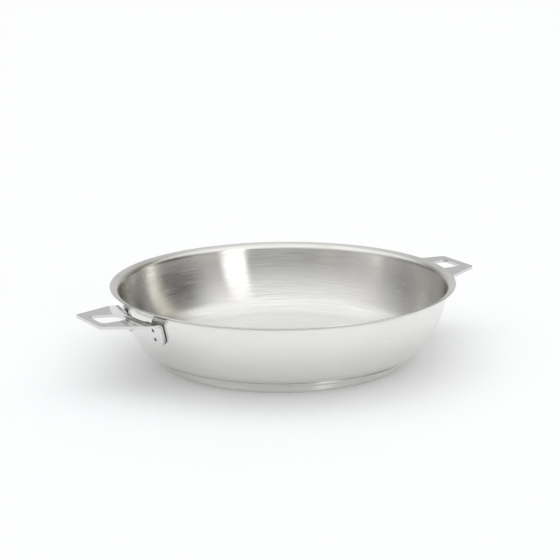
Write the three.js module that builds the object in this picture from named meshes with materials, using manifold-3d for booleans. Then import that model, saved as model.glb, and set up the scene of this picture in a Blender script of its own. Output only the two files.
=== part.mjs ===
// Shallow stainless steel frying pan with two welded side lugs for a detachable handle.
// Millimetres, Z up. The foot stands on Z = 0, the pan's axis is Z and the lugs lie along X.
import * as THREE from 'three';
import { mergeVertices } from 'three/addons/utils/BufferGeometryUtils.js';
import Module from 'manifold-3d';

const wasm = await Module();
wasm.setup();

const DEGREE = Math.PI / 180;

// Pan body
const RIM_RADIUS = 145;
const PAN_HEIGHT = 65.7;
const BODY_SHEET = 1;
const WALL_FLARE = 42.8;
const CORNER_RADIUS = 24.7;
const CORNER_SWEEP = 57.5 * DEGREE;
const WALL_TOP_SLOPE = 81.5 * DEGREE;
const WALL_LOW_HANDLE_SHARE = 0.42;
const WALL_HIGH_HANDLE_SHARE = 0.26;
const LIP_BEND_RADIUS = 4;
const LIP_SLOPE = 20 * DEGREE;
const LIP_FLAT_LENGTH = 3.9;

// Sandwich base
const CAP_SHEET = 0.8;
const BRAZE_THICKNESS = 0.2;
const CORE_THICKNESS = 6.8;
const CAP_SIDE_MARGIN = 1.8;
const CAP_EDGE_RADIUS = 2.5;
const CAP_SHOULDER_HEIGHT = 5.2;
const CAP_FLARE = 9.8;
const CAP_TO_BODY_GAP = 0.3;
const CORE_TO_CAP_GAP = 0.3;
const BRAZE_MARGIN = 1;

// Side lugs
const LUG_PAST_RIM = 36.8;
const LUG_SHEET = 2.4;
const LUG_TOP_BELOW_RIM = 9;
const LUG_RISE = 2.7 * DEGREE;
const LUG_RISE_INSIDE_RIM = 10;
const LUG_OUTER_HALF_WIDTH = 21.7;
const LUG_CORNER_RADIUS = 2;
const LUG_SIDE_LENGTH = 24;
const LUG_SIDE_SPLAY = 10;
const LUG_SHOULDER_LENGTH = 5;
const LUG_FLARE_SHARE = 0.5;
const LUG_TO_WALL_GAP = 0.35;
const NOTCH_UNDER_LIP = 1.6;
const WINDOW_OUTER_BAR = 6.3;
const WINDOW_INNER_BAR = 6.6;
const WINDOW_OUTER_HALF_WIDTH = 13.8;
const WINDOW_INNER_HALF_WIDTH = 9.6;
const WINDOW_OUTER_CORNER = 6;
const WINDOW_INNER_CORNER = 8;
const EAR_ANGLE = 11.2 * DEGREE;
const EAR_PAD_RADIUS = 9.6;
const EAR_NECK_INNER_WIDTH = 6.6;
const EAR_BEND_RADIUS = 2;
const EAR_LENGTH = 16.6;
const FOLD_OVERLAP = 1;

// Weld plugs
const PLUG_RADIUS = 1.25;
const PLUG_GAP = 0.3;
const PLUG_RECESS = 0.4;
const PLUG_OFFSET = -1.5;
const BORE_PAST = 1.5;
const UPPER_PLUG_FROM_FOLD = 3;
const LOWER_PLUG_FROM_FOLD = 10.8;

// Mesh steps
const ROUND_STEPS = 72;
const CORNER_STEPS = 6;
const WALL_STEPS = 8;
const LIP_BEND_STEPS = 4;
const EDGE_STEPS = 4;
const CAP_EDGE_STEPS = 4;
const FOLD_STEPS = 6;
const FOLD_PASSES = 20;
const EAR_STEPS = 5;
const EAR_TIP_STEPS = 6;
const EAR_TIP_END = 78 * DEGREE;
const NOTCH_STEPS = 12;
const OUTLINE_STEPS = 8;
const PLUG_STEPS = 16;
const SECTION_CORNERS = 4;
const MERGE_TOLERANCE = 1e-4;

// Radii
const FLOOR_RADIUS = RIM_RADIUS - WALL_FLARE;
const CAP_SIDE_RADIUS = FLOOR_RADIUS + CAP_SIDE_MARGIN;
const CAP_RIM_RADIUS = CAP_SIDE_RADIUS + CAP_FLARE;
const LUG_REACH = RIM_RADIUS + LUG_PAST_RIM;
const NOTCH_RADIUS = RIM_RADIUS - NOTCH_UNDER_LIP;
const LUG_RISE_START = RIM_RADIUS - LUG_RISE_INSIDE_RIM;

// Levels
const CAP_TOP = CAP_SHEET;
const CORE_BOTTOM = CAP_TOP + BRAZE_THICKNESS;
const CORE_TOP = CORE_BOTTOM + CORE_THICKNESS;
const BODY_UNDERSIDE = CORE_TOP + BRAZE_THICKNESS;
const LUG_TOP = PAN_HEIGHT - LUG_TOP_BELOW_RIM;
const LUG_UNDERSIDE = LUG_TOP - LUG_SHEET;

const steel = new THREE.MeshStandardMaterial({ color: 0xc9c9c6, metalness: 0.9, roughness: 0.3 });
const lugSteel = new THREE.MeshStandardMaterial({ color: 0xbfc0bf, metalness: 0.9, roughness: 0.25 });
const aluminium = new THREE.MeshStandardMaterial({ color: 0xd5d7d9, metalness: 0.9, roughness: 0.45 });
const braze = new THREE.MeshStandardMaterial({ color: 0xb3a992, metalness: 0.8, roughness: 0.5 });
const weld = new THREE.MeshStandardMaterial({ color: 0x77746f, metalness: 0.8, roughness: 0.55 });

// A line in a section is a list of points with the slope of the line at each, measured from the level.
const steps = (count) => Array.from({ length: count + 1 }, (_, i) => i / count);
const mix = (a, b, share) => a + (b - a) * share;
const shifted = (point, distance) => ({
  r: point.r - distance * Math.sin(point.slope),
  z: point.z + distance * Math.cos(point.slope),
  slope: point.slope,
});

// An arc that starts at a point and turns from one slope to another, to the left or to the right.
function turn(start, fromSlope, toSlope, radius, count) {
  const side = toSlope > fromSlope ? 1 : -1;
  const centreR = start.r - side * radius * Math.sin(fromSlope);
  const centreZ = start.z + side * radius * Math.cos(fromSlope);
  return steps(count).map((share) => {
    const slope = mix(fromSlope, toSlope, share);
    return {
      r: centreR + side * radius * Math.sin(slope),
      z: centreZ - side * radius * Math.cos(slope),
      slope,
    };
  });
}

// A half round that joins the ends of two faces of a sheet.
function roundEdge(centre, radius, slope, count) {
  return steps(count).map((share) => {
    const angle = slope + mix(-Math.PI / 2, Math.PI / 2, share);
    return { r: centre.r + radius * Math.cos(angle), z: centre.z + radius * Math.sin(angle) };
  });
}

// Between the drawn geometry and the solids that are joined and cut.
function toManifold(geometry) {
  const plain = geometry.clone();
  plain.deleteAttribute('normal');
  plain.deleteAttribute('uv');
  const merged = mergeVertices(plain, MERGE_TOLERANCE);
  return new wasm.Manifold(new wasm.Mesh({
    numProp: 3,
    vertProperties: new Float32Array(merged.attributes.position.array),
    triVerts: new Uint32Array(merged.index.array),
  }));
}

function toGeometry(solid) {
  const mesh = solid.getMesh();
  const geometry = new THREE.BufferGeometry();
  geometry.setAttribute('position', new THREE.BufferAttribute(new Float32Array(mesh.vertProperties), 3));
  geometry.setIndex(new THREE.BufferAttribute(new Uint32Array(mesh.triVerts), 1));
  geometry.computeVertexNormals();
  return geometry;
}

// A section turned about the pan's axis.
function revolved(section) {
  const points = section.map((point) => new THREE.Vector2(Math.max(point.r, 0), point.z));
  return new THREE.LatheGeometry(points, ROUND_STEPS).rotateX(Math.PI / 2);
}

// The outside of the bowl, from the edge of its flat underside to the edge of the lip.
function bodyOutside() {
  const half = BODY_SHEET / 2;
  const corner = turn({ r: FLOOR_RADIUS, z: BODY_UNDERSIDE }, 0, CORNER_SWEEP, CORNER_RADIUS, CORNER_STEPS);
  const edge = {
    r: RIM_RADIUS - half + half * Math.sin(LIP_SLOPE),
    z: PAN_HEIGHT - half - half * Math.cos(LIP_SLOPE),
    slope: LIP_SLOPE,
  };
  const lipStart = {
    r: edge.r - LIP_FLAT_LENGTH * Math.cos(LIP_SLOPE),
    z: edge.z - LIP_FLAT_LENGTH * Math.sin(LIP_SLOPE),
  };
  const neck = {
    r: lipStart.r - LIP_BEND_RADIUS * (Math.sin(WALL_TOP_SLOPE) - Math.sin(LIP_SLOPE)),
    z: lipStart.z - LIP_BEND_RADIUS * (Math.cos(LIP_SLOPE) - Math.cos(WALL_TOP_SLOPE)),
  };
  const foot = corner[corner.length - 1];
  const chord = Math.hypot(neck.r - foot.r, neck.z - foot.z);
  const low = chord * WALL_LOW_HANDLE_SHARE;
  const high = chord * WALL_HIGH_HANDLE_SHARE;
  const curve = new THREE.CubicBezierCurve(
    new THREE.Vector2(foot.r, foot.z),
    new THREE.Vector2(foot.r + low * Math.cos(CORNER_SWEEP), foot.z + low * Math.sin(CORNER_SWEEP)),
    new THREE.Vector2(neck.r - high * Math.cos(WALL_TOP_SLOPE), neck.z - high * Math.sin(WALL_TOP_SLOPE)),
    new THREE.Vector2(neck.r, neck.z),
  );
  const wall = steps(WALL_STEPS).slice(1, -1).map((share) => {
    const point = curve.getPoint(share);
    const tangent = curve.getTangent(share);
    return { r: point.x, z: point.y, slope: Math.atan2(tangent.y, tangent.x) };
  });
  const lip = turn(neck, WALL_TOP_SLOPE, LIP_SLOPE, LIP_BEND_RADIUS, LIP_BEND_STEPS);
  return [...corner, ...wall, ...lip, edge];
}

const OUTSIDE = bodyOutside();

// The bowl's outside at one height, or at one radius.
function outsideAt(key, value) {
  const next = Math.max(1, OUTSIDE.findIndex((point) => point[key] >= value));
  const before = OUTSIDE[next - 1];
  const after = OUTSIDE[next];
  const share = (value - before[key]) / (after[key] - before[key]);
  return {
    r: mix(before.r, after.r, share),
    z: mix(before.z, after.z, share),
    slope: mix(before.slope, after.slope, share),
  };
}

// The bowl is one sheet from its floor to the rounded edge of its lip.
function panBody() {
  const inside = OUTSIDE.map((point) => shifted(point, BODY_SHEET)).reverse();
  const edge = shifted(OUTSIDE[OUTSIDE.length - 1], BODY_SHEET / 2);
  const edgeRound = roundEdge(edge, BODY_SHEET / 2, LIP_SLOPE, EDGE_STEPS).slice(1, -1);
  return revolved([
    { r: 0, z: BODY_UNDERSIDE },
    ...OUTSIDE,
    ...edgeRound,
    ...inside,
    { r: 0, z: BODY_UNDERSIDE + BODY_SHEET },
  ]);
}

// The cap's outside runs under the foot, round its edge, up the side and out to the bowl's corner.
function capOutside() {
  const meeting = outsideAt('r', CAP_RIM_RADIUS);
  const rim = { r: CAP_RIM_RADIUS, z: meeting.z - CAP_TO_BODY_GAP - CAP_SHEET / Math.cos(meeting.slope) };
  const slope = Math.atan2(rim.z - CAP_SHOULDER_HEIGHT, rim.r - CAP_SIDE_RADIUS);
  const edge = turn(
    { r: CAP_SIDE_RADIUS - CAP_EDGE_RADIUS, z: 0 }, 0, Math.PI / 2, CAP_EDGE_RADIUS, CAP_EDGE_STEPS,
  );
  const shoulder = { r: CAP_SIDE_RADIUS, z: CAP_SHOULDER_HEIGHT, slope: (Math.PI / 2 + slope) / 2 };
  return [...edge, shoulder, { ...rim, slope }];
}

function baseCap() {
  const outside = capOutside();
  const inside = outside.map((point) => shifted(point, CAP_SHEET)).reverse();
  return revolved([{ r: 0, z: 0 }, ...outside, ...inside, { r: 0, z: CAP_TOP }]);
}

// The heat spreader fills the cap, with its lower edge cut off clear of the cap's rounded edge.
function aluminiumCore() {
  const radius = CAP_SIDE_RADIUS - CAP_SHEET - CORE_TO_CAP_GAP;
  const chamfer = CAP_EDGE_RADIUS - CORE_BOTTOM;
  return revolved([
    { r: 0, z: CORE_BOTTOM },
    { r: radius - chamfer, z: CORE_BOTTOM },
    { r: radius, z: CORE_BOTTOM + chamfer },
    { r: radius, z: CORE_TOP },
    { r: 0, z: CORE_TOP },
  ]);
}

function brazeLayer(bottom, radius) {
  const top = bottom + BRAZE_THICKNESS;
  return revolved([{ r: 0, z: bottom }, { r: radius, z: bottom }, { r: radius, z: top }, { r: 0, z: top }]);
}

// Where the fold of an ear, made on the level plate, ends on the bowl's wall.
function earFold() {
  const reach = LUG_TO_WALL_GAP + LUG_SHEET + EAR_BEND_RADIUS;
  const centreZ = LUG_UNDERSIDE - EAR_BEND_RADIUS;
  let wall = outsideAt('z', centreZ);
  for (let pass = 0; pass < FOLD_PASSES; pass += 1) {
    wall = outsideAt('z', centreZ + reach * Math.cos(wall.slope));
  }
  return { wall, centre: { r: wall.r + reach * Math.sin(wall.slope), z: centreZ } };
}

const EAR_FOLD = earFold();

// A place on an ear, by its distance from the pan's axis and its distance along the fold.
// The distance along the fold grows away from the lug's middle.
function earPlace(r, along, side = 1) {
  const x = r * Math.cos(EAR_ANGLE) - along * Math.sin(EAR_ANGLE);
  const y = r * Math.sin(EAR_ANGLE) + along * Math.cos(EAR_ANGLE);
  return { x, y: side * y };
}

// The two faces of the ear's sheet at one step of its fold.
function foldFaces(angle) {
  const face = (distance) => ({
    r: EAR_FOLD.centre.r - distance * Math.sin(angle),
    z: EAR_FOLD.centre.z + distance * Math.cos(angle),
  });
  return { outer: face(EAR_BEND_RADIUS), inner: face(EAR_BEND_RADIUS + LUG_SHEET) };
}

// The ear's sheet at a distance below its fold, measured down the bowl's wall.
function earFaces(distance) {
  const wall = outsideAt('z', EAR_FOLD.wall.z - distance * Math.sin(EAR_FOLD.wall.slope));
  return {
    outer: shifted(wall, -LUG_TO_WALL_GAP - LUG_SHEET),
    inner: shifted(wall, -LUG_TO_WALL_GAP),
    slope: wall.slope,
  };
}

// The ear is a folded strip. Each row has the sheet's two faces and its reach to both sides.
function earRows() {
  const neck = { low: -EAR_NECK_INNER_WIDTH, high: EAR_PAD_RADIUS };
  const padCentre = EAR_LENGTH - EAR_PAD_RADIUS;
  const start = EAR_FOLD.centre.r + FOLD_OVERLAP;
  const flat = { outer: { r: start, z: LUG_UNDERSIDE }, inner: { r: start, z: LUG_TOP } };
  const fold = steps(FOLD_STEPS).map((share) => ({ ...foldFaces(EAR_FOLD.wall.slope * share), ...neck }));
  const stem = steps(EAR_STEPS).slice(1).map((share) => ({
    ...earFaces(padCentre * share),
    low: mix(-EAR_NECK_INNER_WIDTH, -EAR_PAD_RADIUS, THREE.MathUtils.smoothstep(share, 0, 1)),
    high: EAR_PAD_RADIUS,
  }));
  const tip = steps(EAR_TIP_STEPS).slice(1).map((share) => {
    const angle = EAR_TIP_END * share;
    const half = EAR_PAD_RADIUS * Math.cos(angle);
    return { ...earFaces(padCentre + EAR_PAD_RADIUS * Math.sin(angle)), low: -half, high: half };
  });
  return [{ ...flat, ...neck }, ...fold, ...stem, ...tip];
}

// The rows are joined into one closed strip, and its two ends are closed.
function ear() {
  const rows = earRows();
  const position = [];
  const index = [];
  for (const row of rows) {
    const { outer, inner, low, high } = row;
    for (const [face, along] of [[outer, low], [outer, high], [inner, high], [inner, low]]) {
      const { x, y } = earPlace(face.r, along);
      position.push(x, y, face.z);
    }
  }
  for (let here = 0; here < SECTION_CORNERS * (rows.length - 1); here += SECTION_CORNERS) {
    const next = here + SECTION_CORNERS;
    for (let a = 0; a < SECTION_CORNERS; a += 1) {
      const b = (a + 1) % SECTION_CORNERS;
      index.push(here + a, next + b, here + b, here + a, next + a, next + b);
    }
  }
  const last = SECTION_CORNERS * (rows.length - 1);
  index.push(0, 2, 3, 0, 1, 2);
  index.push(last, last + 3, last + 2, last, last + 2, last + 1);
  const geometry = new THREE.BufferGeometry();
  geometry.setAttribute('position', new THREE.BufferAttribute(new Float32Array(position), 3));
  geometry.setIndex(index);
  return toManifold(geometry);
}

// A corner of an outline, rounded from a distance before it to the same distance after it.
function roundedCorner(path, before, corner, after, size) {
  const point = (to) => {
    const length = Math.hypot(to.x - corner.x, to.y - corner.y);
    return { x: mix(corner.x, to.x, size / length), y: mix(corner.y, to.y, size / length) };
  };
  const start = point(before);
  const end = point(after);
  path.lineTo(start.x, start.y);
  path.quadraticCurveTo(corner.x, corner.y, end.x, end.y);
}

function windowPath() {
  const outerX = LUG_REACH - WINDOW_OUTER_BAR;
  const innerX = NOTCH_RADIUS + WINDOW_INNER_BAR;
  const corners = [
    { x: outerX, y: WINDOW_OUTER_HALF_WIDTH, size: WINDOW_OUTER_CORNER },
    { x: innerX, y: WINDOW_INNER_HALF_WIDTH, size: WINDOW_INNER_CORNER },
    { x: innerX, y: -WINDOW_INNER_HALF_WIDTH, size: WINDOW_INNER_CORNER },
    { x: outerX, y: -WINDOW_OUTER_HALF_WIDTH, size: WINDOW_OUTER_CORNER },
  ];
  const path = new THREE.Path();
  path.moveTo(outerX, 0);
  corners.forEach((corner, i) => {
    roundedCorner(path, corners.at(i - 1), corner, corners[(i + 1) % corners.length], corner.size);
  });
  path.closePath();
  return path;
}

// The plate, from its outer edge to the folds of its two ears and the open notch between them.
function lugPlate() {
  const side = { x: LUG_REACH - LUG_SIDE_LENGTH, y: LUG_OUTER_HALF_WIDTH + LUG_SIDE_SPLAY };
  const splay = LUG_SIDE_SPLAY / LUG_SIDE_LENGTH;
  const foldEnd = earPlace(EAR_FOLD.centre.r, EAR_PAD_RADIUS);
  const foldStart = earPlace(EAR_FOLD.centre.r, -EAR_NECK_INNER_WIDTH);
  const shoulderX = foldEnd.x + LUG_SHOULDER_LENGTH;
  const flare = (side.x - shoulderX) * LUG_FLARE_SHARE;
  const relief = earPlace(Math.sqrt(NOTCH_RADIUS ** 2 - EAR_NECK_INNER_WIDTH ** 2), -EAR_NECK_INNER_WIDTH);
  const notchAngle = Math.atan2(relief.y, relief.x);
  const shape = new THREE.Shape();
  shape.moveTo(LUG_REACH, 0);
  roundedCorner(
    shape, { x: LUG_REACH, y: 0 }, { x: LUG_REACH, y: LUG_OUTER_HALF_WIDTH }, side, LUG_CORNER_RADIUS,
  );
  shape.lineTo(side.x, side.y);
  shape.bezierCurveTo(
    side.x - flare, side.y + flare * splay, shoulderX + flare, foldEnd.y, shoulderX, foldEnd.y,
  );
  shape.lineTo(foldEnd.x, foldEnd.y);
  shape.lineTo(foldStart.x, foldStart.y);
  for (const share of steps(NOTCH_STEPS)) {
    const angle = mix(notchAngle, -notchAngle, share);
    shape.lineTo(NOTCH_RADIUS * Math.cos(angle), NOTCH_RADIUS * Math.sin(angle));
  }
  shape.lineTo(foldStart.x, -foldStart.y);
  shape.lineTo(foldEnd.x, -foldEnd.y);
  shape.lineTo(shoulderX, -foldEnd.y);
  shape.bezierCurveTo(
    shoulderX + flare, -foldEnd.y, side.x - flare, -side.y - flare * splay, side.x, -side.y,
  );
  roundedCorner(
    shape, { x: side.x, y: -side.y }, { x: LUG_REACH, y: -LUG_OUTER_HALF_WIDTH }, { x: LUG_REACH, y: 0 },
    LUG_CORNER_RADIUS,
  );
  shape.closePath();
  shape.holes.push(windowPath());
  const geometry = new THREE.ExtrudeGeometry(shape, {
    depth: LUG_SHEET,
    bevelEnabled: false,
    curveSegments: OUTLINE_STEPS,
  });
  return toManifold(geometry.translate(0, 0, LUG_UNDERSIDE));
}

// A round bar square to an ear's sheet, from one distance to another above the sheet's inner face.
function barThroughEar(side, distance, radius, low, high) {
  const { inner, slope } = earFaces(distance);
  const place = earPlace(inner.r, PLUG_OFFSET, side);
  const level = earPlace(Math.sin(slope), 0, side);
  const out = new THREE.Vector3(level.x, level.y, -Math.cos(slope));
  const centre = new THREE.Vector3(place.x, place.y, inner.z).addScaledVector(out, (low + high) / 2);
  const facing = new THREE.Quaternion().setFromUnitVectors(new THREE.Vector3(0, 1, 0), out);
  const geometry = new THREE.CylinderGeometry(radius, radius, high - low, PLUG_STEPS);
  return geometry.applyQuaternion(facing).translate(centre.x, centre.y, centre.z);
}

// One stamped sheet: the plate with its window, both ears and the bores for the weld plugs.
// It is drawn level and then slanted, so that the plate rises on its way out from the wall.
function lug() {
  const oneEar = ear();
  let sheet = lugPlate().add(oneEar).add(oneEar.mirror([0, 1, 0]));
  for (const side of [1, -1]) {
    for (const distance of [UPPER_PLUG_FROM_FOLD, LOWER_PLUG_FROM_FOLD]) {
      const bore = barThroughEar(side, distance, PLUG_RADIUS + PLUG_GAP, -BORE_PAST, LUG_SHEET + BORE_PAST);
      sheet = sheet.subtract(toManifold(bore));
    }
  }
  const rise = Math.tan(LUG_RISE);
  const slant = new THREE.Matrix4().makeShear(0, rise, 0, 0, 0, 0);
  return toGeometry(sheet).applyMatrix4(slant).translate(0, 0, -rise * LUG_RISE_START);
}

function node(name, geometry, material) {
  const mesh = new THREE.Mesh(geometry, material);
  mesh.name = name;
  return mesh;
}

const pan = new THREE.Group();
pan.name = 'frying_pan';
pan.add(node('pan_body', panBody(), steel));
pan.add(node('upper_braze', brazeLayer(CORE_TOP, FLOOR_RADIUS - BRAZE_MARGIN), braze));
pan.add(node('aluminium_core', aluminiumCore(), aluminium));
pan.add(node('lower_braze', brazeLayer(CAP_TOP, CAP_SIDE_RADIUS - CAP_EDGE_RADIUS - BRAZE_MARGIN), braze));
pan.add(node('base_cap', baseCap(), steel));

// The lug is drawn on +X. The left one is turned half a turn about the pan's axis.
const lugGeometry = lug();
for (const [hand, half] of [['right', 0], ['left', Math.PI]]) {
  pan.add(node(`${hand}_lug`, lugGeometry.clone().rotateZ(half), lugSteel));
  for (const side of [1, -1]) {
    const place = (side > 0) === (hand === 'right') ? 'rear' : 'front';
    for (const [level, distance] of [['upper', UPPER_PLUG_FROM_FOLD], ['lower', LOWER_PLUG_FROM_FOLD]]) {
      const plug = barThroughEar(side, distance, PLUG_RADIUS, 0, LUG_SHEET - PLUG_RECESS);
      pan.add(node(`${hand}_${place}_${level}_weld`, plug.rotateZ(half), weld));
    }
  }
}

export default pan;
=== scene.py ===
"""The looks of a shallow steel frying pan with two windowed side lugs.

The bowl and its base are turned, the lugs are stamped and folded sheet, and each lug is held by four
spot welds. Lengths are in metres, Z is up, the foot stands on Z = 0 and the lugs lie along X.
"""

import logging
import math
from dataclasses import dataclass, field, replace
from enum import Enum
from functools import cache

import bpy
from mathutils import Matrix, Vector


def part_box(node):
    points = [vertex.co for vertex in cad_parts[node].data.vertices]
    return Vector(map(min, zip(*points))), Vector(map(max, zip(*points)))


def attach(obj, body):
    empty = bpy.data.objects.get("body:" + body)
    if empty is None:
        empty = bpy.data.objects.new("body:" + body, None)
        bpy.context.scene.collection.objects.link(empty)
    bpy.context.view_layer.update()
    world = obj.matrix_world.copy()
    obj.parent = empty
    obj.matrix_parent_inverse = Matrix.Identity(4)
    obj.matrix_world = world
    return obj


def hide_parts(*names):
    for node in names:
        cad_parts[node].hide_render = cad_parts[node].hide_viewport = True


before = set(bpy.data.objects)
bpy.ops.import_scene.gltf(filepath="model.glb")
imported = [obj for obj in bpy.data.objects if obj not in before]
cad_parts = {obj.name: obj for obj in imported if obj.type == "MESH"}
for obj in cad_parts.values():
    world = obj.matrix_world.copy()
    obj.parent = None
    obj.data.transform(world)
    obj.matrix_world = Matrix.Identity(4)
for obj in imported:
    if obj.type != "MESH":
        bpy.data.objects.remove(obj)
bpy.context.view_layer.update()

LOG = logging.getLogger("frying_pan")
MM = 0.001
BODY = "root"

# Limits and starts for modelling
MERGE_DISTANCE = 0.001 * MM
NEAR = 0.01 * MM
START_SIZE = 1 * MM
CREASE_ANGLE = math.radians(40)
FACING_UP = 0.9
FOLD_PASSES = 20

# Patterns of the finishes
LINE_DETAIL = 4.0
LINE_CONTRAST = (0.3, 0.7)
GRAIN_DETAIL = 3.0
SMUDGE_SIZE = 45 * MM
SMUDGE_DETAIL = 5.0
SMUDGE_WARP = 0.6
SMUDGE_CONTRAST = (0.35, 0.75)
HANDLED_ROUGHNESS = 1.25
QUARTER_TURN = 0.25

# Sockets of a Mix node that mixes colours: its share and both colours, and its result
MIX_INPUTS = (0, 6, 7)
MIX_RESULT = 2

# Angles round the room as shares of a ramp, whose middle lies on the camera's side
FULL_TURN = 360
CAMERA_SHARE = 0.5

# Short names for types
Colour = tuple[float, float, float, float]
Piece = bpy.types.Object
Material = bpy.types.Material
Tree = bpy.types.NodeTree
Node = bpy.types.Node
Outputs = bpy.types.NodeOutputs
Socket = bpy.types.NodeSocket


class Hand(Enum):
    """The two sides of the pan that carry a lug, with the half turns from +X."""

    RIGHT = 0
    LEFT = 1


class BowlSide(Enum):
    """The stretches of the bowl that have a finish of their own, with their material slots."""

    OUTSIDE = 0
    INSIDE = 1
    FLOOR = 2


class Measure(Enum):
    """The measures by which a point of a section is found."""

    RADIUS = "radius"
    HEIGHT = "height"


def shares(count: int) -> list[float]:
    """Splits one into equal steps, both ends included."""
    return [step / count for step in range(count + 1)]


def mix(low: float, high: float, share: float) -> float:
    """Gives the value at a share of the way between two values."""
    return low + (high - low) * share


def ease(share: float) -> float:
    """Lets a share start and stop gently."""
    return share * share * (3 - 2 * share)


@dataclass(frozen=True)
class SectionPoint:
    """A point of a turned section.

    Attributes:
        radius: Distance from the pan's axis.
        height: Height above the foot.
        slope: Slope of the section there, measured from the level.
    """

    radius: float
    height: float
    slope: float = 0.0

    def shifted(self, distance: float) -> "SectionPoint":
        """Moves the point square to its section.

        Args:
            distance: How far it moves, to the left of the section's run.

        Returns:
            The moved point, with the same slope.
        """
        radius = self.radius - distance * math.sin(self.slope)
        height = self.height + distance * math.cos(self.slope)
        return SectionPoint(radius, height, self.slope)


def turn(start: SectionPoint, to_slope: float, radius: float, count: int) -> list[SectionPoint]:
    """Draws an arc of a section from a point and its slope to another slope.

    Args:
        start: Point where the arc starts, with its slope.
        to_slope: Slope where the arc ends.
        radius: Radius of the arc, below zero for an arc that is run backwards.
        count: Number of steps.

    Returns:
        The points of the arc, both ends included.
    """
    side = 1.0 if to_slope > start.slope else -1.0
    centre = start.shifted(side * radius)
    points = []
    for share in shares(count):
        slope = mix(start.slope, to_slope, share)
        points.append(SectionPoint(centre.radius, centre.height, slope).shifted(-side * radius))
    return points


def bezier(corners: list[Vector], count: int) -> list[Vector]:
    """Draws a curve of any degree through its first and last corner.

    Args:
        corners: The curve's control points.
        count: Number of steps.

    Returns:
        The points of the curve, both ends included.
    """
    points = []
    for share in shares(count):
        level = list(corners)
        while len(level) > 1:
            level = [a.lerp(b, share) for a, b in zip(level, level[1:])]
        points.append(level[0])
    return points


class Bench:
    """The modelling steps that the pieces share, made with Blender's own operators."""

    @staticmethod
    def clear_selection() -> None:
        """Goes back to object mode with nothing selected."""
        if bpy.context.mode != "OBJECT":
            bpy.ops.object.mode_set(mode="OBJECT")
        bpy.ops.object.select_all(action="DESELECT")

    @staticmethod
    def pick(piece: Piece) -> None:
        """Selects one piece alone and makes it active.

        Args:
            piece: The piece to select.
        """
        Bench.clear_selection()
        piece.select_set(True)
        bpy.context.view_layer.objects.active = piece

    @staticmethod
    def select_none_of(kind: str) -> None:
        """Clears the active mesh's selection, so that elements can then be selected in code.

        Args:
            kind: The kind of element that edit mode selects.
        """
        bpy.ops.object.mode_set(mode="EDIT")
        bpy.ops.mesh.select_mode(type=kind)
        bpy.ops.mesh.select_all(action="DESELECT")
        bpy.ops.object.mode_set(mode="OBJECT")

    @staticmethod
    def start_line(name: str, place: Vector) -> Piece:
        """Starts a new piece as one vertex, in edit mode.

        Args:
            name: Name of the piece.
            place: Where its first vertex lies.

        Returns:
            The new object.
        """
        Bench.clear_selection()
        bpy.ops.mesh.primitive_plane_add(size=START_SIZE)
        piece = bpy.context.object
        piece.name = name
        piece.data.name = name
        bpy.ops.object.mode_set(mode="EDIT")
        bpy.ops.mesh.select_all(action="SELECT")
        bpy.ops.mesh.merge(type="CENTER")
        bpy.ops.transform.translate(value=place)
        return piece

    @staticmethod
    def extrude_along(points: list[Vector]) -> None:
        """Extrudes what is selected from the first point to each next one."""
        for here, there in zip(points, points[1:]):
            bpy.ops.mesh.extrude_region_move(TRANSFORM_OT_translate={"value": there - here})

    @staticmethod
    def spun(name: str, section: list[SectionPoint], steps: int) -> Piece:
        """Turns a section about the pan's axis into a closed piece.

        Args:
            name: Name of the piece.
            section: Points of the section, from the axis and back to it.
            steps: Number of steps round the axis.

        Returns:
            The piece, in object mode.
        """
        line = [Vector((point.radius, 0.0, point.height)) for point in section]
        piece = Bench.start_line(name, line[0])
        Bench.extrude_along(line)
        bpy.ops.mesh.select_all(action="SELECT")
        bpy.ops.mesh.spin(steps=steps, angle=math.tau, center=(0.0, 0.0, 0.0), axis=(0.0, 0.0, 1.0))
        bpy.ops.mesh.select_all(action="SELECT")
        bpy.ops.mesh.remove_doubles(threshold=MERGE_DISTANCE)
        bpy.ops.mesh.normals_make_consistent(inside=False)
        bpy.ops.object.mode_set(mode="OBJECT")
        return piece

    @staticmethod
    def finish_with(piece: Piece, kind: str, **settings: object) -> None:
        """Adds a modifier to a piece and applies it.

        Args:
            piece: The piece to change.
            kind: The modifier's type.
            settings: Its properties by name.
        """
        Bench.pick(piece)
        modifier = piece.modifiers.new(kind.title(), kind)
        for name, value in settings.items():
            setattr(modifier, name, value)
        bpy.ops.object.modifier_apply(modifier=modifier.name)

    @staticmethod
    def bevel(piece: Piece, width: float, segments: int, **settings: object) -> None:
        """Rounds the edges of a piece that are sharper than an angle, in a number of segments."""
        limit = {"limit_method": "ANGLE", "angle_limit": CREASE_ANGLE}
        Bench.finish_with(piece, "BEVEL", width=width, segments=segments, **{**limit, **settings})

    @staticmethod
    def soften(piece: Piece, angle: float = CREASE_ANGLE) -> None:
        """Shades a piece smooth, apart from edges sharper than an angle."""
        Bench.pick(piece)
        bpy.ops.object.shade_smooth_by_angle(angle=angle)

    @staticmethod
    def copy_of(piece: Piece, name: str, place: Matrix) -> Piece:
        """Copies a piece with a mesh of its own and moves that mesh to its place.

        Args:
            piece: The piece to copy.
            name: Name of the copy.
            place: Where the copy goes.

        Returns:
            The copy, with its object at the origin.
        """
        Bench.pick(piece)
        bpy.ops.object.duplicate(linked=False)
        copy = bpy.context.object
        copy.name = name
        copy.data.name = name
        copy.matrix_world = place
        bpy.ops.object.transform_apply(location=True, rotation=True, scale=True)
        return copy

    @staticmethod
    def hand_over(piece: Piece, slot: str, node: str) -> None:
        """Sets a piece on the pan in place of its plain solid.

        Args:
            piece: The finished piece.
            slot: The record's material slot of the piece; not used.
            node: The solid that it stands for.
        """
        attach(piece, BODY)
        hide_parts(node)


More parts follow.
